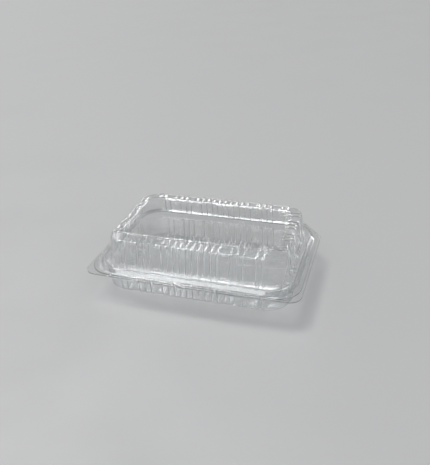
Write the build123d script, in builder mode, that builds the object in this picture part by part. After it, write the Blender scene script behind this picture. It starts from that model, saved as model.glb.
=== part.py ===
"""Clear clamshell pack: a fluted tray and a fluted domed lid, folded together along one long side.

Millimetres, +Z up. The origin is on the surface the tray stands on, under the middle of the pack.
The long sides run along X and the living hinge runs along the far long side, at +Y.
"""
import os
from typing import NamedTuple

from build123d import *

os.makedirs("parts", exist_ok=True)


class Level(NamedTuple):
    """A rounded rectangle at one height: half its length, half its width and its corner radius."""

    z: float
    half_x: float
    half_y: float
    corner: float


# Sheet and flutes
sheet = 0.4                    # thickness of the formed sheet
pitch = 5.2                    # from one flute to the next
flute_radius = 1.4             # half round section of a flute
flute_height = 1.0             # how far a flute stands out of the wall
flute_depth = flute_radius - flute_height
flute_overrun = 0.8            # hidden length where a flute runs into the panel or the rim
edge_radius = 2.2              # rounding between shoulder and wall

# Every rounded corner of the walls turns about the same four upright lines
corner_x = 60.7
corner_y = 32.6

# Flanges, which lie on each other at the parting height
parting_z = 20.6
tray_flange_x = 90.0
tray_flange_front = 60.0
tray_front_bow = 1.5           # the long front edge bulges by this much
tray_flange_corner = 9.0
lid_flange_x = 88.0
lid_flange_front = 58.3
lid_front_bow = 0.9
lid_flange_corner = 18.0
hinge_y = 61.5                 # fold line between the two flanges
hinge_half_length = 73.0
hinge_cut_y = 19.5             # the flange corners beside the hinge are cut off from here
hinge_cut_corner = 4.0

# Tray, from the panel it stands on up to its ledge and its sealing ridge
tray_panel_x = 66.5
tray_panel_y = 33.0
tray_panel_corner = 5.0
panel_step = 1.1               # the panel stands this far out of the shoulder around it
tray_foot_y = 49.3
tray_foot_z = 1.2
tray_wall_top_y = 51.1
ledge_z = 16.8                 # upper face of the tray's ledge
ridge_inner_y = 52.7           # tray side of the ridge, at the ledge
ridge_top_z = 23.8
ridge_foot_y = 55.85           # outer side of the ridge, at the parting height
ridge_slope = 0.35             # sideways for each millimetre up

# Lid, from its bead over the ridge up to the top panel
bead_foot_y = 56.6             # outer side of the bead, at the parting height
bead_top_z = 24.6
lid_wall_foot_y = 48.2
lid_shoulder_y = 45.4
lid_shoulder_z = 45.6
lid_panel_x = 65.9
lid_panel_y = 34.6
lid_panel_corner = 7.0
lid_top_z = 47.3
lid_shoulder_rise = 0.6        # the shoulder climbs this much from its edge to the panel

# Flute places, counted in pitches from the middle of a side. One flute is left out between two groups.
long_side = [side * (0.5 + n) for n in range(12) if n not in (5, 9) for side in (-1, 1)]
short_side = [side * n for n in range(1, 7) if n != 4 for side in (-1, 1)]


def around(z, half_y):
    """A level whose corners turn about the pack's own corner lines."""
    corner = half_y - corner_y
    return Level(z, corner_x + corner, half_y, corner)


def inside(level, down=0.0):
    """The level one sheet further in, moved down by a given height."""
    return Level(level.z - down, level.half_x - sheet, level.half_y - sheet, level.corner - sheet)


def tapered(levels, rounded_edge=0.0, edge_z=0.0):
    """A solid with straight sides from each level to the next, one of its edges rounded."""
    with BuildPart() as solid:
        for level in levels:
            with BuildSketch(Plane.XY.offset(level.z)):
                RectangleRounded(2 * level.half_x, 2 * level.half_y, level.corner)
        loft(ruled=True)
        if rounded_edge:
            loop = solid.edges().filter_by_position(Axis.Z, edge_z - 0.01, edge_z + 0.01)
            fillet(loop, radius=rounded_edge)
    return solid.part


def flute(radius, wall_foot, shoulder_edge, panel_edge, overrun_z, along_x):
    """One round flute that runs up the wall, over the shoulder and into the panel.

    The three places are (distance from the middle, height) on the wall's outer face.
    """
    direction = 1 if shoulder_edge[1] > wall_foot[1] else -1
    sunk = [
        (wall_foot[0] - flute_depth, wall_foot[1] - direction * overrun_z),
        (shoulder_edge[0] - flute_depth, shoulder_edge[1] - direction * flute_depth),
        (panel_edge[0] - flute_overrun, panel_edge[1] - direction * flute_depth),
    ]
    places = [(-out, 0, z) if along_x else (0, -out, z) for out, z in sunk]
    with BuildPart() as solid:
        with BuildLine():
            run = FilletPolyline(*places, radius=edge_radius - flute_depth)
        with BuildSketch(Plane(origin=run @ 0, z_dir=run % 0)):
            Circle(radius)
        sweep()
    return solid.part


def flutes(radius, foot, shoulder, panel):
    """All the flutes of one half, on its four sides."""
    lengthways = [(level.half_x, level.z) for level in (foot, shoulder, panel)]
    crossways = [(level.half_y, level.z) for level in (foot, shoulder, panel)]
    front = flute(radius, *crossways, flute_overrun, along_x=False)
    end = flute(radius, *lengthways, flute_overrun, along_x=True)
    with BuildPart() as group:
        for turn in (0, 180):
            with Locations(*[Location((n * pitch, 0, 0), (0, 0, turn)) for n in long_side]):
                add(front)
            with Locations(*[Location((0, n * pitch, 0), (0, 0, turn)) for n in short_side]):
                add(end)
    return group.part


def flange(bottom_z, half_x, front, bow, front_corner):
    """A flange plate: bowed front edge, rounded front corners, cut corners beside the hinge."""
    with BuildPart() as plate:
        with BuildSketch(Plane.XY.offset(bottom_z)) as outline:
            with BuildLine():
                ThreePointArc((-half_x, -front), (0, -front - bow), (half_x, -front))
                Polyline(
                    (half_x, -front),
                    (half_x, hinge_y - hinge_cut_y),
                    (hinge_half_length, hinge_y),
                    (-hinge_half_length, hinge_y),
                    (-half_x, hinge_y - hinge_cut_y),
                    (-half_x, -front),
                )
            make_face()
            fillet(outline.vertices().group_by(Axis.Y)[0], radius=front_corner)
            fillet(outline.vertices().group_by(Axis.Y)[-2], radius=hinge_cut_corner)
        extrude(amount=sheet)
    return plate.part


# Tray levels, on the outer face of the sheet
tray_panel = Level(0, tray_panel_x, tray_panel_y, tray_panel_corner)
tray_step = Level(
    panel_step, tray_panel_x + panel_step, tray_panel_y + panel_step, tray_panel_corner + panel_step
)
tray_foot = around(tray_foot_z, tray_foot_y)
tray_wall_top = around(ledge_z - sheet, tray_wall_top_y)
collar_foot = around(ledge_z - sheet, ridge_inner_y + sheet)
collar_top = around(ridge_top_z, ridge_inner_y + sheet)
ridge_foot = around(parting_z - sheet, ridge_foot_y + ridge_slope * sheet)
ridge_top = around(ridge_top_z, ridge_foot_y - ridge_slope * (ridge_top_z - parting_z))

tray_levels = [tray_panel, tray_step, tray_foot, tray_wall_top]
tray_inner_levels = [inside(level, -sheet) for level in tray_levels]

with BuildPart() as base_tray:
    add(flange(parting_z - sheet, tray_flange_x, tray_flange_front, tray_front_bow, tray_flange_corner))
    # The ridge is a hollow fold: its outer side first, then the groove under it
    add(tapered([ridge_foot, ridge_top]))
    add(tapered([inside(ridge_foot, sheet), inside(ridge_top, sheet)]), mode=Mode.SUBTRACT)
    add(tapered([collar_foot, collar_top]))
    add(tapered(tray_levels, edge_radius, tray_foot.z))
    add(flutes(flute_radius, tray_wall_top, tray_foot, tray_step))
    # The room for the food, with the inner side of each flute
    add(tapered([inside(collar_foot, -sheet), inside(collar_top, -sheet)]), mode=Mode.SUBTRACT)
    add(tapered(tray_inner_levels, edge_radius - sheet, tray_foot.z + sheet), mode=Mode.SUBTRACT)
    add(flutes(flute_radius - sheet, tray_wall_top, tray_foot, tray_step), mode=Mode.SUBTRACT)
base_tray.part.label = "base_tray"
export_step(base_tray.part, "parts/base_tray.step")

# Lid levels, on the outer face of the sheet
bead_foot = around(parting_z, bead_foot_y)
bead_top = around(bead_top_z, bead_foot_y - ridge_slope * (bead_top_z - parting_z))
lid_wall_foot = around(bead_top_z, lid_wall_foot_y)
lid_shoulder = around(lid_shoulder_z, lid_shoulder_y)
lid_step = Level(
    lid_shoulder_z + lid_shoulder_rise,
    lid_panel_x + panel_step,
    lid_panel_y + panel_step,
    lid_panel_corner + panel_step,
)
lid_panel = Level(lid_top_z, lid_panel_x, lid_panel_y, lid_panel_corner)
lid_levels = [lid_wall_foot, lid_shoulder, lid_step, lid_panel]

with BuildPart() as lid:
    add(flange(parting_z, lid_flange_x, lid_flange_front, lid_front_bow, lid_flange_corner))
    add(tapered([bead_foot, bead_top]))
    add(tapered(lid_levels, edge_radius, lid_shoulder.z))
    add(flutes(flute_radius, lid_wall_foot, lid_shoulder, lid_step))
    # The hollow of the bead and of the dome, with the inner side of each flute
    add(tapered([inside(bead_foot, sheet), inside(bead_top, sheet)]), mode=Mode.SUBTRACT)
    add(
        tapered([inside(level, sheet) for level in lid_levels], edge_radius - sheet, lid_shoulder.z - sheet),
        mode=Mode.SUBTRACT,
    )
    add(flutes(flute_radius - sheet, lid_wall_foot, lid_shoulder, lid_step), mode=Mode.SUBTRACT)
lid.part.label = "lid"
export_step(lid.part, "parts/lid.step")
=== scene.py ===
"""Clear clamshell pack in its studio: a fluted tray, a fluted domed lid and the living hinge between them.

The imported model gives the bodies, the overall box and the hinge line. Each half is one thin formed sheet:
a profile of reach and height carried round the pack's four upright corner lines, with half round flutes
pushed out of it, and then given its thickness. Metres in Blender, millimetres in the fields below.
"""
import logging
import math
from dataclasses import dataclass, field
from enum import Enum
from typing import Any, Sequence

import bmesh
import bpy
import numpy as np
from mathutils import Matrix, Vector


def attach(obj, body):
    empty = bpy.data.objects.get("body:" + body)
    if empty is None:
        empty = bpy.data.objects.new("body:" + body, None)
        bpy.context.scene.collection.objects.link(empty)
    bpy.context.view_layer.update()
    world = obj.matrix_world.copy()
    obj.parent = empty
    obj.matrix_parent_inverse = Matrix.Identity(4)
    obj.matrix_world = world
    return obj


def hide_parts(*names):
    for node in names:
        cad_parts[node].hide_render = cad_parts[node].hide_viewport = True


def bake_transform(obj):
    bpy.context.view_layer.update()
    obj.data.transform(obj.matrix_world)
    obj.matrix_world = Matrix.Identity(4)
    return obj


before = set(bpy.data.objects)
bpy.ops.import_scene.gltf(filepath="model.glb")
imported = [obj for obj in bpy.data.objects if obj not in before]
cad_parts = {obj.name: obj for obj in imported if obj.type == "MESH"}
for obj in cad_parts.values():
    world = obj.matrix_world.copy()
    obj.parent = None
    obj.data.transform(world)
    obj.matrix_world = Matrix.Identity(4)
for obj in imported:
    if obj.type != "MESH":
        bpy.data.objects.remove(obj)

LOG = logging.getLogger("clamshell")
MM = 0.001
TINY = 1e-9
Array = np.ndarray


class Body(Enum):
    """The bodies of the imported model."""

    TRAY = "tray"
    LID = "lid"


class Facing(Enum):
    """Which face of the sheet a shell's profile describes."""

    UPPER = 1
    UNDER = -1


class Carry(Enum):
    """How a flute is carried over a bend of the profile. See Profile."""

    NONE = "none"
    ROOT = "root"
    CREST = "crest"
    END = "end"


# ---------------------------------------------------------------- shape of the sheet


@dataclass(frozen=True)
class Flutes:
    """Half round flutes at even places along the four sides, with one left out between two groups.

    Args:
        pitch: From one flute to the next.
        radius: Radius of a flute's round section.
        depth: How far the centre of that round lies behind the wall.
        soften: Rounding of the valley where a flute meets the wall.
        long_count: Places for flutes on half a long side, the first half a pitch from its middle.
        long_gaps: The places left out there, counted from nought.
        short_count: Places for flutes on half a short side, the first a whole pitch from its middle.
        short_gaps: The places left out there, counted from one.
    """

    pitch: float = 5.2
    radius: float = 1.4
    depth: float = 0.4
    soften: float = 0.12
    long_count: int = 12
    long_gaps: tuple[int, ...] = (5, 9)
    short_count: int = 6
    short_gaps: tuple[int, ...] = (4,)

    def long_side(self) -> Array:
        """Flute places along a long side."""
        steps = np.array([n for n in range(self.long_count) if n not in self.long_gaps]) + 0.5
        return np.sort(np.concatenate([-steps, steps])) * self.pitch

    def short_side(self) -> Array:
        """Flute places along a short side."""
        steps = np.array([n for n in range(1, self.short_count + 1) if n not in self.short_gaps])
        return np.sort(np.concatenate([-steps, steps])) * self.pitch

    def height(self, along: Array, places: Array) -> Array:
        """How far the sheet stands out of the wall.

        The circle's height above the wall is the root of radius squared less offset squared, less depth.
        The larger of that and nought is taken softly, as half the sum of the value and its own length
        with the softening added at right angles.

        Args:
            along: Places along the side.
            places: Flute centres on that side.

        Returns:
            The height, in millimetres, of the same shape as along.
        """
        offset = np.abs(along[..., None] - places).min(axis=-1)
        rise = np.sqrt(np.maximum(self.radius**2 - offset**2, 0.0)) - self.depth
        level = 0.5 * (-self.depth + math.hypot(self.depth, self.soften))
        return 0.5 * (rise + np.hypot(rise, self.soften)) - level


@dataclass(frozen=True)
class Outline:
    """A convex outline with rounded corners, counter-clockwise, given by its corners and their radii."""

    corners: tuple[tuple[float, float], ...]
    radii: tuple[float, ...]

    @classmethod
    def rectangle(cls, half_x: float, half_y: float, radius: float) -> "Outline":
        """A rounded rectangle about the middle of the pack."""
        corners = ((half_x, -half_y), (half_x, half_y), (-half_x, half_y), (-half_x, -half_y))
        return cls(corners, (radius,) * len(corners))

    def reach(self, start: Array, direction: Array) -> Array:
        """Distance from each start point to the outline, along its direction.

        The nearest of the outline's straight lines is met first. Where the way out then passes between
        the two normals of a corner, it ends on that corner's circle, at the far root of the distance
        to the circle's centre.

        Args:
            start: Points inside the outline, one a column.
            direction: Unit directions, one a column.

        Returns:
            One distance a column.
        """
        points = np.array(self.corners)
        edges = np.roll(points, -1, axis=0) - points
        normals = np.stack([edges[:, 1], -edges[:, 0]], axis=1)
        normals /= np.linalg.norm(normals, axis=1, keepdims=True)
        toward = direction @ normals.T
        gap = (points * normals).sum(axis=1) - start @ normals.T
        found = np.where(toward > TINY, gap / np.maximum(toward, TINY), np.inf).min(axis=1)
        earlier = np.roll(normals, 1, axis=0)
        for corner, radius, before, after in zip(points, self.radii, earlier, normals):
            centre = corner - radius * (before + after) / (1.0 + before @ after)
            offset = start - centre
            half = (offset * direction).sum(axis=1)
            inner = half**2 - (offset**2).sum(axis=1) + radius**2
            away = -half + np.sqrt(np.maximum(inner, 0.0))
            spoke = offset + away[:, None] * direction
            left = before[0] * spoke[:, 1] - before[1] * spoke[:, 0]
            right = spoke[:, 0] * after[1] - spoke[:, 1] * after[0]
            found = np.where((inner > 0) & (left >= 0) & (right >= 0), away, found)
        return found


@dataclass(frozen=True)
class Columns:
    """The upright sections round the pack, closest together across each flute.

    Each section starts on the rectangle of the four corner lines and points straight out of its side, or
    fans out round its corner line.

    Args:
        corner_x: Distance of the corner lines from the middle, along the pack.
        corner_y: The same across it.
        flutes: The flutes that the sections are set close at.
        across: Offsets of the sections at each flute, from its middle out.
        margin: Room left between those and a section in a gap.
        closest: The least distance between two sections.
        gap_steps: How many pitches to either side of the middle are looked at for gaps.
        fan_close: Angle from each end of a corner's fan in which its sections are close, in degrees.
        fan_counts: Sections in that angle, and in the rest of the fan.
    """

    corner_x: float = 60.7
    corner_y: float = 32.6
    flutes: Flutes = field(default_factory=Flutes)
    across: tuple[float, ...] = (0.0, 0.45, 0.85, 1.15, 1.33, 1.5)
    margin: float = 0.3
    closest: float = 0.08
    gap_steps: int = 12
    fan_close: float = 13.0
    fan_counts: tuple[int, int] = (11, 18)

    def stations(self, half: float, places: Array) -> Array:
        """Places along one straight side: a fan of offsets at each flute, and one place between flutes."""
        offsets = np.array(self.across)
        offsets = np.concatenate([-offsets[:0:-1], offsets])
        near = (places[:, None] + offsets).ravel()
        between = np.arange(-self.gap_steps, self.gap_steps + 1) * self.flutes.pitch
        clear = np.abs(between[:, None] - places).min(axis=1) > offsets.max() + self.margin
        found = np.concatenate([near, between[clear], (places[1:] + places[:-1]) / 2.0, [-half, half]])
        found = np.sort(found[np.abs(found) <= half])
        keep = np.concatenate([[True], np.diff(found) > self.closest])
        return found[keep]

    def fan(self) -> Array:
        """Angles round a corner line, in radians, without its first and last: closest at both ends."""
        close, wide = self.fan_counts
        parts = [
            np.linspace(0.0, self.fan_close, close, endpoint=False),
            np.linspace(self.fan_close, 90.0 - self.fan_close, wide, endpoint=False),
            np.linspace(90.0 - self.fan_close, 90.0, close + 1),
        ]
        return np.radians(np.concatenate(parts)[1:-1])

    def sections(self) -> tuple[Array, Array]:
        """The start point and the outward direction of each section, counter-clockwise from the front.

        Returns:
            Start points and unit directions, both of shape (columns, 2).
        """
        x = self.stations(self.corner_x, self.flutes.long_side())
        y = self.stations(self.corner_y, self.flutes.short_side())
        turn = self.fan()
        starts: list[Array] = []
        ways: list[Array] = []
        corners = [(1, -1), (1, 1), (-1, 1), (-1, -1)]
        runs = [(x, 0, -1), (y, 1, 1), (-x, 0, 1), (-y, 1, -1)]
        for quarter, ((run, axis, sign), (right, back)) in enumerate(zip(runs, corners)):
            start = np.empty((len(run), 2))
            start[:, axis] = run
            start[:, 1 - axis] = sign * (self.corner_y if axis == 0 else self.corner_x)
            way = np.zeros((len(run), 2))
            way[:, 1 - axis] = sign
            angle = turn + (quarter - 1) * math.pi / 2.0
            starts += [start, np.tile([right * self.corner_x, back * self.corner_y], (len(turn), 1))]
            ways += [way, np.stack([np.cos(angle), np.sin(angle)], axis=1)]
        return np.concatenate(starts), np.concatenate(ways)


@dataclass(frozen=True)
class Bend:
    """One corner of a profile.

    Args:
        reach: Distance outwards from the corner rectangle, one number or one a column.
        z: Height.
        radius: Radius of the bend.
        turns: Rows round the bend.
        rows: Rows on the straight run that leads on to the next bend.
        carry: How a flute is carried here.
    """

    reach: Any
    z: float
    radius: float = 0.0
    turns: int = 4
    rows: int = 1
    carry: Carry = Carry.NONE


@dataclass
class Profile:
    """A section of the sheet, from the edge of its flange in to the edge of its panel.

    Rows are points of reach and height for every column, and with each the way that a flute pushes it.
    Round a crest that way is the face's normal. Where a fluted face meets a plain one, at its root and at
    its end, the flute slides along the plain face, so that it stops on that face. Between two bends the
    way changes evenly from the one to the other.

    Args:
        bends: The section's corners.
        columns: How many sections there are.
        end_share: How much of its slide a flute makes at its end, so that none stands out past the panel.
    """

    bends: Sequence[Bend]
    columns: int
    end_share: float = 0.8

    def points(self) -> Array:
        """The bends' places, of shape (bends, columns, 2)."""
        rows = [np.broadcast_to([0.0, 0.0], (self.columns, 2)).copy() for _ in self.bends]
        for row, bend in zip(rows, self.bends):
            row[:, 0] = bend.reach
            row[:, 1] = bend.z
        return np.stack(rows)

    def rows(self, facing: Facing) -> tuple[Array, Array]:
        """The section's rows, with each bend a true arc.

        A bend's arc touches both of its straight runs. Its centre lies on the line that halves them, at
        the radius over the sine of half their angle, and its rows turn evenly from one run to the other.

        Args:
            facing: Which face of the sheet this is, for the side that flutes stand out on.

        Returns:
            Places and carry ways, both of shape (rows, columns, 2).
        """
        corner = self.points()
        run = np.diff(corner, axis=0)
        unit = run / np.linalg.norm(run, axis=2, keepdims=True)
        side = np.stack([unit[..., 1], -unit[..., 0]], axis=-1) * facing.value
        places: list[Array] = []
        ways: list[Array] = []
        zero = np.zeros_like(corner[0])
        last = len(self.bends) - 1
        for n, bend in enumerate(self.bends):
            if 0 < n < last and bend.radius > 0:
                arc, normal = self._arc(corner[n], unit[n - 1], unit[n], bend)
            else:
                arc, normal = corner[n][None], side[min(n, last - 1)][None]
            if bend.carry is Carry.ROOT:
                slide = unit[n - 1] / (unit[n - 1] * side[n]).sum(axis=1, keepdims=True)
                way = np.broadcast_to(slide, arc.shape)
            elif bend.carry is Carry.CREST:
                way = normal * np.sign((normal * side[n][None]).sum(axis=2, keepdims=True))
            elif bend.carry is Carry.END:
                slide = unit[n] / (unit[n] * side[n - 1]).sum(axis=1, keepdims=True)
                way = np.broadcast_to(slide * self.end_share, arc.shape)
            else:
                way = np.broadcast_to(zero, arc.shape)
            if places:
                share = np.linspace(0.0, 1.0, self.bends[n - 1].rows + 1)[1:-1, None, None]
                places.append(places[-1][-1] * (1.0 - share) + arc[0] * share)
                ways.append(ways[-1][-1] * (1.0 - share) + way[0] * share)
            places.append(arc)
            ways.append(way)
        return np.concatenate(places), np.concatenate(ways)

    @staticmethod
    def _arc(corner: Array, before: Array, after: Array, bend: Bend) -> tuple[Array, Array]:
        """Rows round one bend and their normals, of shape (turns + 1, columns, 2)."""
        cosine = np.clip((before * after).sum(axis=1, keepdims=True), -1.0, 1.0)
        turn = np.arccos(cosine)
        tangent = bend.radius * np.tan(turn / 2.0)
        inward = after - before
        inward /= np.linalg.norm(inward, axis=1, keepdims=True)
        centre = corner + inward * bend.radius / np.cos(turn / 2.0)
        first = (corner - before * tangent - centre) / bend.radius
        final = (corner + after * tangent - centre) / bend.radius
        share = np.linspace(0.0, 1.0, bend.turns + 1)[:, None, None]
        normal = np.sin((1.0 - share) * turn) * first + np.sin(share * turn) * final
        normal /= np.maximum(np.sin(turn), TINY)
        return centre + normal * bend.radius, normal


# ---------------------------------------------------------------- meshes


def grid_faces(rows: int, columns: int, closed: bool, flip: bool) -> Array:
    """Corner indices of the four-sided faces of a grid.

    Args:
        rows: Rows of points.
        columns: Points in a row.
        closed: Whether the last column meets the first.
        flip: Whether the faces look the other way.

    Returns:
        Indices of shape (faces, 4).
    """
    here = np.arange(columns if closed else columns - 1)
    there = (here + 1) % columns
    base = (np.arange(rows - 1) * columns)[:, None]
    quads = np.stack([base + here, base + there, base + columns + there, base + columns + here], axis=-1)
    quads = quads.reshape(-1, 4)
    return quads[:, ::-1] if flip else quads


def mesh_object(name: str, points: Array, faces: Array, weld: float = 0.0) -> bpy.types.Object:
    """A smooth mesh object at the origin.

    Args:
        name: The object's name.
        points: Places in millimetres, of shape (points, 3).
        faces: Corner indices of shape (faces, 4).
        weld: Distance in millimetres under which points are merged.

    Returns:
        The new object, linked to the scene.
    """
    mesh = bpy.data.meshes.new(name)
    mesh.vertices.add(len(points))
    mesh.vertices.foreach_set("co", (points * MM).astype(np.float32).ravel())
    mesh.loops.add(faces.size)
    mesh.loops.foreach_set("vertex_index", faces.astype(np.int32).ravel())
    mesh.polygons.add(len(faces))
    mesh.polygons.foreach_set("loop_start", np.arange(0, faces.size, 4, dtype=np.int32))
    mesh.polygons.foreach_set("loop_total", np.full(len(faces), 4, dtype=np.int32))
    mesh.update(calc_edges=True)
    if weld:
        welded = bmesh.new()
        welded.from_mesh(mesh)
        bmesh.ops.remove_doubles(welded, verts=welded.verts, dist=weld * MM)
        welded.to_mesh(mesh)
        welded.free()
    mesh.polygons.foreach_set("use_smooth", np.ones(len(mesh.polygons), dtype=bool))
    mesh.validate()
    piece = bpy.data.objects.new(name, mesh)
    bpy.context.scene.collection.objects.link(piece)
    return piece


def thicken(piece: bpy.types.Object, thickness: float) -> None:
    """Gives a surface its sheet thickness, on the side away from its normals."""
    wall = piece.modifiers.new("sheet", "SOLIDIFY")
    wall.thickness = thickness * MM
    wall.offset = -1.0
    wall.use_even_offset = False
    wall.use_quality_normals = True


# ---------------------------------------------------------------- shader maths


class Value:
    """A socket that can be used in Python arithmetic. Each operation adds its Math node."""

    def __init__(self, shader: "Shader", socket: bpy.types.NodeSocket) -> None:
        """Wraps a socket of a shader's tree."""
        self.shader = shader
        self.socket = socket

    def _math(self, operation: str, *terms: Any) -> "Value":
        """The result of a Math node on these terms."""
        return self.shader.node("ShaderNodeMath", {"operation": operation}, dict(enumerate(terms)))

    def __add__(self, other: Any) -> "Value":
        """Sum."""
        return self._math("ADD", self, other)

    def __radd__(self, other: Any) -> "Value":
        """Sum, from the right."""
        return self._math("ADD", other, self)

    def __mul__(self, other: Any) -> "Value":
        """Product."""
        return self._math("MULTIPLY", self, other)

    def __rmul__(self, other: Any) -> "Value":
        """Product, from the right."""
        return self._math("MULTIPLY", other, self)

    def ramp(self, low: float, high: float, to_low: float = 0.0, to_high: float = 1.0) -> "Value":
        """Carries the range low..high over to to_low..to_high, smoothly and held at both ends."""
        sockets = {"Value": self, "From Min": low, "From Max": high, "To Min": to_low, "To Max": to_high}
        return self.shader.node("ShaderNodeMapRange", {"interpolation_type": "SMOOTHSTEP"}, sockets)


@dataclass(frozen=True)
class Cloud:
    """A layer of cloudy noise between nought and one.

    Args:
        scale: Its features in a metre.
        detail: How many finer layers it has.
        rough: How strongly those show.
        stretch: What its coordinates are multiplied by, along the three axes.
    """

    scale: float
    detail: float = 2.0
    rough: float = 0.5
    stretch: tuple[float, float, float] | None = None


class Shader:
    """A material's node tree, written as expressions.

    The two constants number the colour sockets of a Mix node.
    """

    MIX_COLOURS = (6, 7)
    MIX_RESULT = 2

    def __init__(self, name: str) -> None:
        """Makes an empty node material."""
        self.material = bpy.data.materials.new(name)
        self.material.use_nodes = True
        self.tree = self.material.node_tree
        self.tree.nodes.clear()

    def node(self, kind: str, settings: dict[str, Any], sockets: dict[Any, Any], output: Any = 0) -> Value:
        """Adds a node.

        Args:
            kind: The node's type.
            settings: The node's own settings, set first.
            sockets: Values or links of its inputs, by name or number.
            output: Which output to return, by name or number.

        Returns:
            That output, ready for arithmetic.
        """
        made = self.tree.nodes.new(kind)
        for key, setting in settings.items():
            setattr(made, key, setting)
        for key, given in sockets.items():
            if isinstance(given, Value):
                self.tree.links.new(given.socket, made.inputs[key])
            else:
                made.inputs[key].default_value = given
        return Value(self, made.outputs[output])

    def place(self) -> Value:
        """Object coordinates, in metres."""
        return self.node("ShaderNodeTexCoord", {}, {}, "Object")

    def noise(self, place: Value, cloud: Cloud) -> Value:
        """A layer of noise at these coordinates."""
        if cloud.stretch:
            scaled = {0: place, 1: cloud.stretch}
            place = self.node("ShaderNodeVectorMath", {"operation": "MULTIPLY"}, scaled, "Vector")
        sockets = {"Vector": place, "Scale": cloud.scale, "Detail": cloud.detail, "Roughness": cloud.rough}
        return self.node("ShaderNodeTexNoise", {}, sockets, "Fac")

    def mixed_colour(self, share: Value, first: tuple[float, ...], second: tuple[float, ...]) -> Value:
        """A colour between two, by share."""
        made = self.tree.nodes.new("ShaderNodeMix")
        made.data_type = "RGBA"
        self.tree.links.new(share.socket, made.inputs["Factor"])
        for socket, colour in zip(self.MIX_COLOURS, (first, second)):
            made.inputs[socket].default_value = (*colour, 1.0)
        return Value(self, made.outputs[self.MIX_RESULT])

    def finish(self, surface: Value) -> bpy.types.Material:
        """Joins a surface shader to the output and returns the material."""
        output = self.tree.nodes.new("ShaderNodeOutputMaterial")
        self.tree.links.new(surface.socket, output.inputs["Surface"])
        return self.material


# ---------------------------------------------------------------- finishes


@dataclass(frozen=True)
class ClearSheet:
    """Clear formed plastic: glossy, faintly hazy in patches, with fine ripples and scuffs.

    Args:
        name: The material's name.
        tint: Colour of the light that passes.
        dusky: The same where it is cloudiest.
        milk: Colours of the milky scatter, from one to the other.
        shade: Colour of the light that goes on into the shadow.
        ior: Refractive index of the plastic.
        haze: Share of milky scatter at the most, in a cloudy patch or in a scuff.
        ripple: Height of the relief at full strength, in millimetres.
        strength: Strength of the relief.
        relief: Shares in it of the streaks, the swell and the grain.
        streaks: Marks drawn down the wall as the sheet was formed.
        patches: Cloudy patches.
        scuffs: Scuffs, drawn out across the pack.
        grain: The finest relief.
        swell: Relief between the streaks and the grain.
        scuff_range: Noise from which a scuff starts to show, and at which it is full.
        rough_range: The same for the roughness of a cloudy patch.
        haze_range: The same for its haze.
        gloss: Roughness where the sheet is clean.
        cloudy: Roughness that a cloudy patch adds.
        scuffed: Roughness that a scuff adds.
        matt: Roughness that the milky scatter adds.
    """

    name: str = "clear_sheet_finish"
    tint: tuple[float, float, float] = (0.985, 0.99, 0.992)
    dusky: tuple[float, float, float] = (0.95, 0.96, 0.965)
    milk: tuple[tuple[float, float, float], ...] = ((0.86, 0.88, 0.9), (0.96, 0.97, 0.98))
    shade: tuple[float, float, float] = (0.94, 0.943, 0.945)
    ior: float = 1.52
    haze: float = 0.06
    ripple: float = 0.14
    strength: float = 0.3
    relief: tuple[float, float, float] = (0.8, 0.2, 0.006)
    streaks: Cloud = Cloud(55.0, 3.0, stretch=(1.0, 1.0, 0.25))
    patches: Cloud = Cloud(28.0, 4.0, 0.6)
    scuffs: Cloud = Cloud(900.0, 3.0, 0.7, stretch=(1.0, 0.18, 0.6))
    grain: Cloud = Cloud(2600.0)
    swell: Cloud = Cloud(160.0)
    scuff_range: tuple[float, float] = (0.62, 0.78)
    rough_range: tuple[float, float] = (0.35, 0.8)
    haze_range: tuple[float, float] = (0.4, 0.75)
    gloss: float = 0.018
    cloudy: float = 0.05
    scuffed: float = 0.12
    matt: float = 0.25

    def make(self) -> bpy.types.Material:
        """The node material."""
        s = Shader(self.name)
        place = s.place()
        drawn = s.noise(place, self.streaks)
        cloud = s.noise(place, self.patches)
        scuff = s.noise(place, self.scuffs).ramp(*self.scuff_range)
        grain = s.noise(place, self.grain)
        swell = s.noise(place, self.swell)
        of_streaks, of_swell, of_grain = self.relief
        relief = drawn * of_streaks + swell * of_swell + grain * of_grain
        bump = s.node(
            "ShaderNodeBump",
            {},
            {"Strength": self.strength, "Distance": self.ripple * MM, "Height": relief},
        )
        rough = self.gloss + cloud.ramp(*self.rough_range) * self.cloudy + scuff * self.scuffed
        clear = s.node(
            "ShaderNodeBsdfPrincipled",
            {},
            {
                "Base Color": s.mixed_colour(cloud, self.tint, self.dusky),
                "Roughness": rough,
                "Normal": bump,
                "IOR": self.ior,
                "Transmission Weight": 1.0,
            },
        )
        milky = s.node(
            "ShaderNodeBsdfPrincipled",
            {},
            {
                "Base Color": s.mixed_colour(drawn, *self.milk),
                "Roughness": rough + self.matt,
                "Normal": bump,
                "IOR": self.ior,
            },
        )
        veil = cloud.ramp(*self.haze_range) * self.haze + scuff * self.haze
        sheet = s.node("ShaderNodeMixShader", {}, {0: veil, 1: clear, 2: milky})
        open_way = s.node("ShaderNodeBsdfTransparent", {}, {"Color": (*self.shade, 1.0)})
        shadow = s.node("ShaderNodeLightPath", {}, {}, "Is Shadow Ray")
        return s.finish(s.node("ShaderNodeMixShader", {}, {0: shadow, 1: sheet, 2: open_way}))


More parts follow.
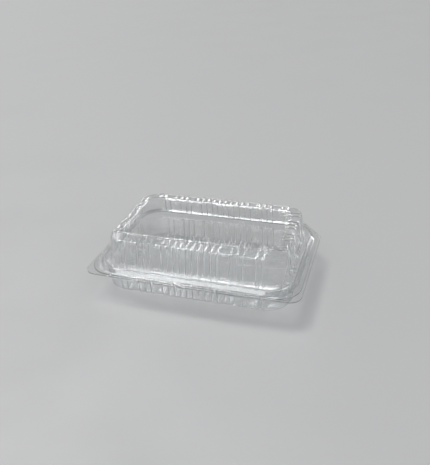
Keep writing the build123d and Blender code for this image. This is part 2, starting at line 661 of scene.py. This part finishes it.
@dataclass(frozen=True)
class PaleFloor:
    """Matt pale floor with a very faint mottle.

    Args:
        name: The material's name.
        light: One colour of the mottle.
        dark: The other.
        mottle: Its noise.
        mottle_range: The noise that the roughness changes over.
        rough: Roughness at both ends of that range.
    """

    name: str = "pale_floor_finish"
    light: tuple[float, float, float] = (0.66, 0.665, 0.67)
    dark: tuple[float, float, float] = (0.63, 0.635, 0.64)
    mottle: Cloud = Cloud(9.0, 5.0)
    mottle_range: tuple[float, float] = (0.3, 0.7)
    rough: tuple[float, float] = (0.55, 0.65)

    def make(self) -> bpy.types.Material:
        """The node material."""
        s = Shader(self.name)
        mottle = s.noise(s.place(), self.mottle)
        return s.finish(
            s.node(
                "ShaderNodeBsdfPrincipled",
                {},
                {
                    "Base Color": s.mixed_colour(mottle, self.light, self.dark),
                    "Roughness": mottle.ramp(*self.mottle_range, *self.rough),
                },
            )
        )


# ---------------------------------------------------------------- the pack


@dataclass
class Half:
    """What the tray and the lid share: one thin sheet formed round the same corner lines.

    Args:
        name: The piece's name.
        node: The CAD node that it stands for.
        body: The body that it rides on.
        facing: Which face of the sheet its profile describes.
        columns: The upright sections round the pack.
        thickness: Sheet thickness. A little under the CAD sheet, so that the two flanges stay apart.
        bow: How far the middle of the flange's front edge bulges.
        rim_hem: Width of the narrow ring of faces along the flange's edge.
        panel_hem: Width of the one along the panel's edge.
        panel_sag: How far the middle of the panel gives way.
        panel_rings: Rings of faces across the panel.
        first_ring: Share of the way to the middle of a further ring, which holds the panel's edge flat.
        weld: Distance under which points are merged.
        panel_x: Half the panel's length.
        panel_y: Half its width.
        panel_corner: Its corner radius.
        panel_step: How far the panel stands out of the shoulder round it.
        half_x: Half the flange's length.
        front: Its front edge's distance from the middle, without the bow.
        hinge_y: Its rear edge, where the hinge begins.
        hinge_half: Half the length of the hinge.
        hinge_cut: How far in front of the hinge the cut at each rear corner starts.
        flange_corners: Radius of the front corners, and of the four corners of the cuts.
        bead_line: Where the front bulge dies out, at the foot of the bead.
        edge_radius: Radius of the large bend between wall and shoulder.
        wide_bend: Radius of the bends at the ledge, and at the foot of the tray's ridge.
        step_bend: Radius of the bend beside the panel, and at the foot of the lid's bead.
        panel_bend: Radius of the bend at the panel's edge.
    """

    name: str
    node: str
    body: Body
    facing: Facing
    columns: Columns
    bow: float
    thickness: float = 0.36
    rim_hem: float = 0.3
    panel_hem: float = 1.2
    panel_sag: float = 0.12
    panel_rings: int = 7
    first_ring: float = 0.02
    weld: float = 0.002
    panel_x: float = 0.0
    panel_y: float = 0.0
    panel_corner: float = 0.0
    panel_step: float = 1.1
    half_x: float = 0.0
    front: float = 0.0
    hinge_y: float = 61.1
    hinge_half: float = 73.0
    hinge_cut: float = 19.1
    flange_corners: tuple[float, float] = (0.0, 0.0)
    bead_line: float = 56.6
    edge_radius: float = 2.2
    wide_bend: float = 0.8
    step_bend: float = 0.5
    panel_bend: float = 0.7

    def bends(self, start: Array, way: Array) -> list[Bend]:
        """The profile of this half, from its flange in to its panel."""
        raise NotImplementedError

    def out(self, y: float) -> float:
        """The reach of a place on the long side, y from the middle of the pack."""
        return y - self.columns.corner_y

    def flange(self) -> Outline:
        """The flange's outline without its bow: rounded in front, with its corners cut off at the hinge."""
        right = (
            (self.half_x, -self.front),
            (self.half_x, self.hinge_y - self.hinge_cut),
            (self.hinge_half, self.hinge_y),
        )
        left = tuple((-x, y) for x, y in reversed(right))
        front_radius, cut_radius = self.flange_corners
        return Outline(right + left, (front_radius,) + (cut_radius,) * 4 + (front_radius,))

    def panel_outline(self, out: float) -> Outline:
        """The panel's outline, moved out on all sides."""
        return Outline.rectangle(self.panel_x + out, self.panel_y + out, self.panel_corner + out)

    def surface(self) -> tuple[Array, int, int]:
        """Places on the sheet's face.

        A place is its section's start, plus reach times the section's direction, at the profile's height.
        A flute moves it by the flute's height there times the profile's carry way. The front edge of the
        flange bulges by bow times one less the square of x over the half length. Inside the panel's edge
        the rings close in evenly on a line along the panel's middle, sagging by a smooth curve.

        Returns:
            Places of shape (rows * columns, 3), rows and columns.
        """
        start, way = self.columns.sections()
        profile = Profile(self.bends(start, way), len(start))
        place, carry = profile.rows(self.facing)
        flat = start + place[..., :1] * way
        rise = self.flute_rise(flat, way)[..., None] * carry
        reach = place + rise
        xy = start + reach[..., :1] * way
        xy[..., 1] -= self.front_bulge(xy)
        body = np.concatenate([xy, reach[..., 1:]], axis=2)
        rings = self.panel(body[-1])
        whole = np.concatenate([body, rings])
        return whole.reshape(-1, 3), whole.shape[0], whole.shape[1]

    def flute_rise(self, flat: Array, way: Array) -> Array:
        """Height of the flutes at each place, taken along the side that the place belongs to."""
        flutes = self.columns.flutes
        crossways = np.abs(way[:, 1]) > np.abs(way[:, 0])
        on_long = flutes.height(flat[..., 0], flutes.long_side())
        on_short = flutes.height(flat[..., 1], flutes.short_side())
        return np.where(crossways, on_long, on_short)

    def front_bulge(self, xy: Array) -> Array:
        """How far the flange's front edge bulges at each place."""
        half_x = np.abs(xy[0, :, 0]).max()
        front = -xy[0, :, 1].min()
        share = np.clip((-xy[..., 1] - self.bead_line) / (front - self.bead_line), 0.0, 1.0)
        return self.bow * share * np.clip(1.0 - (xy[..., 0] / half_x) ** 2, 0.0, 1.0)

    def panel(self, edge: Array) -> Array:
        """The rings inside the panel's edge, closing in on the line along its middle."""
        spine = np.zeros_like(edge[:, :2])
        half = self.panel_x - self.panel_y
        spine[:, 0] = np.clip(edge[:, 0], -half, half)
        share = np.linspace(0.0, 1.0, self.panel_rings + 1)[1:, None, None]
        share = np.concatenate([[[[self.first_ring]]], share])
        xy = edge[None, :, :2] * (1.0 - share) + spine * share
        sag = self.panel_sag * share * share * (3.0 - 2.0 * share)
        z = np.broadcast_to(edge[None, :, 2:], (*xy.shape[:2], 1)) - sag * self.facing.value
        return np.concatenate([xy, z], axis=2)

    def build(self) -> bpy.types.Object:
        """Makes the piece."""
        points, rows, count = self.surface()
        faces = grid_faces(rows, count, closed=True, flip=self.facing is Facing.UNDER)
        piece = mesh_object(self.name, points, faces, weld=self.weld)
        thicken(piece, self.thickness)
        return piece

    def dress(self, piece: bpy.types.Object, sheet: bpy.types.Material) -> None:
        """Gives the piece its finish and its place among the bodies."""
        piece.data.materials.append(sheet)
        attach(piece, self.body.value)
        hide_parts(self.node)


@dataclass
class Tray(Half):
    """The tray: panel, fluted wall, ledge, sealing ridge and flange. Its profile is the sheet's underside.

    Args:
        flange_z: Height of the flange.
        ridge_foot: Outer foot of the ridge, measured on the long side from the middle of the pack.
        ridge_top: Outer edge of its top.
        ridge_z: Height of its top.
        collar: Its inner side, which stands upright.
        ledge_z: Height of the ledge.
        wall_top: Top of the fluted wall.
        foot: Foot of the fluted wall.
        foot_z: Its height.
        ridge_bend: Radius of the two bends at the ridge's top.
    """

    half_x: float = 90.0
    front: float = 60.0
    flange_corners: tuple[float, float] = (9.0, 4.0)
    flange_z: float = 20.24
    ridge_foot: float = 55.64
    ridge_top: float = 54.0
    ridge_z: float = 23.44
    collar: float = 53.06
    ledge_z: float = 16.44
    wall_top: float = 51.1
    foot: float = 49.3
    foot_z: float = 1.2
    ridge_bend: float = 0.42
    panel_bend: float = 0.6
    panel_hem: float = 0.35
    panel_x: float = 66.5
    panel_y: float = 33.0
    panel_corner: float = 5.0

    def bends(self, start: Array, way: Array) -> list[Bend]:
        """From the flange up into the ridge, down to the ledge and the wall, and in to the panel."""
        rim = self.flange().reach(start, way)
        step = self.panel_outline(self.panel_step).reach(start, way)
        brim = self.panel_outline(0.0).reach(start, way)
        return [
            Bend(rim, self.flange_z),
            Bend(rim - self.rim_hem, self.flange_z, rows=3),
            Bend(self.out(self.ridge_foot), self.flange_z, self.wide_bend, turns=5),
            Bend(self.out(self.ridge_top), self.ridge_z, self.ridge_bend, turns=5),
            Bend(self.out(self.collar), self.ridge_z, self.ridge_bend, turns=5, rows=2),
            Bend(self.out(self.collar), self.ledge_z, self.wide_bend, turns=5),
            Bend(self.out(self.wall_top), self.ledge_z, self.wide_bend, turns=4, rows=5, carry=Carry.ROOT),
            Bend(self.out(self.foot), self.foot_z, self.edge_radius, turns=8, rows=4, carry=Carry.CREST),
            Bend(step, self.panel_step, self.step_bend, turns=3, carry=Carry.END),
            Bend(brim, 0.0, self.panel_bend, turns=4),
            Bend(brim - self.panel_hem, 0.0),
        ]


@dataclass
class Lid(Half):
    """The lid: flange, bead over the tray's ridge, fluted wall, shoulder and raised panel.

    Args:
        flange_z: Height of the flange.
        bead_foot: Outer foot of the bead, measured on the long side from the middle of the pack.
        bead_top: Outer edge of its top.
        bead_z: Height of its top.
        wall_foot: Foot of the fluted wall.
        shoulder: Edge of the shoulder.
        shoulder_z: Its height.
        shoulder_rise: How far the shoulder climbs from its edge to the panel.
        bead_bend: Radius of the bend at the bead's top.
        top_z: Height of the panel.
    """

    half_x: float = 88.0
    front: float = 58.3
    flange_corners: tuple[float, float] = (18.0, 4.0)
    flange_z: float = 21.0
    bead_foot: float = 56.46
    bead_top: float = 55.2
    bead_z: float = 24.6
    wall_foot: float = 48.2
    shoulder: float = 45.4
    shoulder_z: float = 45.6
    shoulder_rise: float = 0.6
    bead_bend: float = 1.1
    top_z: float = 47.3
    panel_x: float = 65.9
    panel_y: float = 34.6
    panel_corner: float = 7.0

    def bends(self, start: Array, way: Array) -> list[Bend]:
        """From the flange up over the bead, in along the ledge, up the wall and in to the panel."""
        rim = self.flange().reach(start, way)
        step = self.panel_outline(self.panel_step).reach(start, way)
        brim = self.panel_outline(0.0).reach(start, way)
        return [
            Bend(rim, self.flange_z),
            Bend(rim - self.rim_hem, self.flange_z, rows=2),
            Bend(self.out(self.bead_foot), self.flange_z, self.step_bend, turns=3),
            Bend(self.out(self.bead_top), self.bead_z, self.bead_bend, turns=6, rows=3),
            Bend(self.out(self.wall_foot), self.bead_z, self.wide_bend, turns=4, rows=5, carry=Carry.ROOT),
            Bend(
                self.out(self.shoulder),
                self.shoulder_z,
                self.edge_radius,
                turns=8,
                rows=4,
                carry=Carry.CREST,
            ),
            Bend(step, self.shoulder_z + self.shoulder_rise, self.step_bend, turns=3, carry=Carry.END),
            Bend(brim, self.top_z, self.panel_bend, turns=4),
            Bend(brim - self.panel_hem, self.top_z),
        ]


@dataclass
class LivingHinge:
    """The fold that joins the two flanges: a half round strip of the same sheet.

    Args:
        name: The piece's name.
        y: The strip's centre line, from the middle of the pack.
        z: Its height.
        radius: Radius of the half round.
        half_length: Half its length.
        thickness: Its sheet thickness, pressed thinner than the halves.
        turns: Faces round the half circle.
        spans: Faces along the strip.
        blend_share: Not used.
    """

    name: str = "living_hinge"
    y: float = 61.1
    z: float = 20.62
    radius: float = 0.38
    half_length: float = 73.0
    thickness: float = 0.28
    turns: int = 12
    spans: int = 60
    blend_share: float = 0.8

    def build(self) -> bpy.types.Object:
        """Makes the strip: a half circle from the tray's flange round to the lid's, carried along X."""
        angle = np.linspace(-math.pi / 2.0, math.pi / 2.0, self.turns + 1)[:, None]
        x = np.linspace(-self.half_length, self.half_length, self.spans + 1)[None]
        ones = np.ones_like(angle * x)
        y = self.y + self.radius * np.cos(angle)
        z = self.z + self.radius * np.sin(angle)
        points = np.stack([ones * x, ones * y, ones * z], axis=2).reshape(-1, 3)
        piece = mesh_object(self.name, points, grid_faces(self.turns + 1, self.spans + 1, False, True))
        thicken(piece, self.thickness)
        return piece

    def dress(self, piece: bpy.types.Object, sheet: bpy.types.Material) -> None:
        """Gives the strip its finish and bakes its place into its points."""
        piece.data.materials.append(sheet)
        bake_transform(piece)


# ---------------------------------------------------------------- studio


@dataclass(frozen=True)
class Glint:
    """A place on the pack that should catch a light, and the way its face looks there.

    Args:
        spot: The place, in metres.
        looks: The direction that the face looks in, of any length.
    """

    spot: tuple[float, float, float]
    looks: tuple[float, float, float]

    def lit_from(self, eye: Sequence[float], way: float) -> tuple[float, float, float]:
        """Where a light hangs that this face mirrors to the eye.

        The line of sight is turned back at the face: it loses twice its share along the face's normal.

        Args:
            eye: The eye's place.
            way: Distance of the light from the spot.

        Returns:
            The place of the light.
        """
        ray = (Vector(self.spot) - Vector(eye)).normalized()
        normal = Vector(self.looks).normalized()
        return tuple(Vector(self.spot) + (ray - 2.0 * ray.dot(normal) * normal) * way)


@dataclass(frozen=True)
class Strip:
    """A strip of soft light, hung where a line of faces mirrors it to the eye.

    Args:
        name: The light's name.
        first: The face that mirrors one end of it.
        last: The face that mirrors the other end.
        width: Its size across, in metres.
        glow: Its brightness, in watts for each square metre and steradian.
        aim: The point that it faces.
    """

    name: str
    first: Glint
    last: Glint
    width: float
    glow: float
    aim: tuple[float, float, float] = (0.0, 0.0, 0.02)

    def hang(self, eye: Sequence[float], way: float, lit: bpy.types.Collection) -> None:
        """Adds the light, with its length from end to end.

        The power of a flat lamp is pi times its area times its glow.

        Args:
            eye: The eye's place.
            way: Distance of each end from the face that mirrors it.
            lit: The objects that it lights. The floor isn't among them, so that only the key and the
                sky light it, evenly.
        """
        first, last = (Vector(glint.lit_from(eye, way)) for glint in (self.first, self.last))
        middle = (first + last) / 2.0
        along = (last - first).normalized()
        away = middle - Vector(self.aim)
        away = (away - along * away.dot(along)).normalized()
        light = bpy.data.lights.new(self.name, "AREA")
        light.shape = "RECTANGLE"
        light.size = (last - first).length
        light.size_y = self.width
        light.energy = math.pi * light.size * light.size_y * self.glow
        lamp = bpy.data.objects.new(self.name, light)
        turn = Matrix((along, away.cross(along), away)).transposed().to_4x4()
        lamp.matrix_world = Matrix.Translation(middle) @ turn
        lamp.visible_camera = False
        lamp.light_linking.receiver_collection = lit
        bpy.context.scene.collection.objects.link(lamp)


UPWARDS = (0.0, 0.0, 1.0)
BEAD_FACE = (0.0, -0.92, 0.39)
FRONT_EDGE = (0.0, -0.5, 0.87)
STRIPS = (
    Strip(
        "front_ledge_strip",
        Glint((-0.066, -0.053, 0.0246), UPWARDS),
        Glint((0.074, -0.053, 0.0246), UPWARDS),
        width=0.016,
        glow=14.0,
    ),
    Strip(
        "rear_ledge_strip",
        Glint((-0.060, 0.053, 0.0246), UPWARDS),
        Glint((0.066, 0.053, 0.0246), UPWARDS),
        width=0.020,
        glow=16.0,
    ),
    Strip(
        "bead_strip",
        Glint((-0.095, -0.056, 0.0226), BEAD_FACE),
        Glint((0.110, -0.056, 0.0226), BEAD_FACE),
        width=0.24,
        glow=4.5,
    ),
    Strip(
        "front_shoulder_strip",
        Glint((-0.070, -0.0445, 0.0455), FRONT_EDGE),
        Glint((0.070, -0.0445, 0.0455), FRONT_EDGE),
        width=0.08,
        glow=16.0,
    ),
    Strip(
        "rear_shoulder_strip",
        Glint((-0.065, 0.045, 0.0455), (-0.1, 0.22, 0.97)),
        Glint((0.065, 0.045, 0.0455), (0.05, 0.22, 0.97)),
        width=0.05,
        glow=9.0,
    ),
    Strip(
        "left_shoulder_strip",
        Glint((-0.073, 0.0, 0.0455), (-0.25, 0.0, 0.97)),
        Glint((-0.073, 0.0, 0.0455), (-0.5, 0.0, 0.87)),
        width=0.10,
        glow=16.0,
    ),
    Strip(
        "right_shoulder_strip",
        Glint((0.073, 0.0, 0.0455), (0.3, 0.0, 0.95)),
        Glint((0.073, 0.0, 0.0455), (0.85, 0.0, 0.53)),
        width=0.06,
        glow=16.0,
    ),
)


@dataclass
class Studio:
    """Floor, soft light and camera.

    Args:
        eye: The camera's place, in metres.
        azimuth: The camera's turn to the right of the front, in radians.
        pitch: How far it looks down, in radians.
        roll: Its roll, in radians.
        lens: Focal length, in millimetres.
        sensor: Width of the sensor, in millimetres.
        near: Nearest distance that the camera shows, in metres.
        floor_half: Half the side of the floor, in metres.
        floor_gap: How far the floor lies below the pack, in millimetres, so that the two don't coincide.
        sky: Brightness of the surround.
        key: Strength of the key light, which is as wide as key_width degrees and comes from key_from.
        way: How far from the pack the strips of light hang.
        bounces: How many times light may turn or pass through a face.
    """

    eye: tuple[float, float, float] = (0.14455, -0.39689, 0.27569)
    azimuth: float = 0.336
    pitch: float = 0.516
    roll: float = -0.053
    lens: float = 47.65
    sensor: float = 36.0
    near: float = 0.01
    floor_half: float = 4.0
    floor_gap: float = 0.08
    sky: float = 0.2
    key: float = 2.1
    key_width: float = 14.0
    key_from: tuple[float, float, float] = (-0.5, 0.45, 1.0)
    way: float = 0.95
    bounces: int = 32

    def camera(self) -> None:
        """Sets the camera by its three axes: right, up and back."""
        data = bpy.data.cameras.new("camera")
        data.sensor_fit = "HORIZONTAL"
        data.sensor_width = self.sensor
        data.lens = self.lens
        data.clip_start = self.near
        camera = bpy.data.objects.new("camera", data)
        forward = Vector(
            (
                -math.sin(self.azimuth) * math.cos(self.pitch),
                math.cos(self.azimuth) * math.cos(self.pitch),
                -math.sin(self.pitch),
            )
        )
        level = Vector((math.cos(self.azimuth), math.sin(self.azimuth), 0.0))
        above = level.cross(forward)
        right = level * math.cos(self.roll) + above * math.sin(self.roll)
        up = above * math.cos(self.roll) - level * math.sin(self.roll)
        axes = Matrix((right, up, -forward)).transposed().to_4x4()
        camera.matrix_world = Matrix.Translation(self.eye) @ axes
        bpy.context.scene.collection.objects.link(camera)
        bpy.context.scene.camera = camera

    def floor(self) -> None:
        """Lays the floor, a plain square on the ground."""
        half, low = self.floor_half / MM, -self.floor_gap
        corners = np.array([(-half, -half, low), (half, -half, low), (half, half, low), (-half, half, low)])
        ground = mesh_object("floor", corners, np.array([[0, 1, 2, 3]]))
        ground.data.materials.append(PaleFloor().make())

    def lights(self, pieces: Sequence[bpy.types.Object]) -> None:
        """Hangs the strips and the key light, and sets an even grey surround.

        Args:
            pieces: The pack's pieces, which the strips light.
        """
        lit = bpy.data.collections.new("lit_by_strips")
        for piece in pieces:
            lit.objects.link(piece)
        for strip in STRIPS:
            strip.hang(self.eye, self.way, lit)
        sun = bpy.data.lights.new("key", "SUN")
        sun.energy = self.key
        sun.angle = math.radians(self.key_width)
        lamp = bpy.data.objects.new("key", sun)
        lamp.rotation_euler = (-Vector(self.key_from)).to_track_quat("-Z", "Y").to_euler()
        bpy.context.scene.collection.objects.link(lamp)
        world = bpy.data.worlds.new("surround")
        world.use_nodes = True
        background = world.node_tree.nodes["Background"]
        background.inputs["Color"].default_value = (self.sky, self.sky, self.sky, 1.0)
        bpy.context.scene.world = world

    def set_up(self, pieces: Sequence[bpy.types.Object]) -> None:
        """Makes the whole studio round the pieces.

        Light passes many layers of sheet, so its paths may be long.
        """
        self.camera()
        self.floor()
        self.lights(pieces)
        cycles = bpy.context.scene.cycles
        cycles.max_bounces = self.bounces
        cycles.transmission_bounces = self.bounces
        cycles.transparent_max_bounces = 2 * self.bounces
        cycles.caustics_reflective = False
        cycles.caustics_refractive = False
        bpy.context.scene.view_settings.view_transform = "Standard"


def main() -> None:
    """Builds the pack and its studio, and reports each piece."""
    logging.basicConfig(level=logging.INFO, format="%(name)s: %(message)s")
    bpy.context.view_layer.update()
    sheet = ClearSheet().make()
    columns = Columns()
    parts = (
        Tray("tray_shell", "base_tray", Body.TRAY, Facing.UNDER, columns, bow=1.5),
        Lid("lid_shell", "lid", Body.LID, Facing.UPPER, columns, bow=0.9),
        LivingHinge(),
    )
    pieces = []
    for part in parts:
        piece = part.build()
        part.dress(piece, sheet)
        pieces.append(piece)
        LOG.info("%s: %d faces before its thickness", piece.name, len(piece.data.polygons))
    Studio().set_up(pieces)


if __name__ == "__main__":
    main()
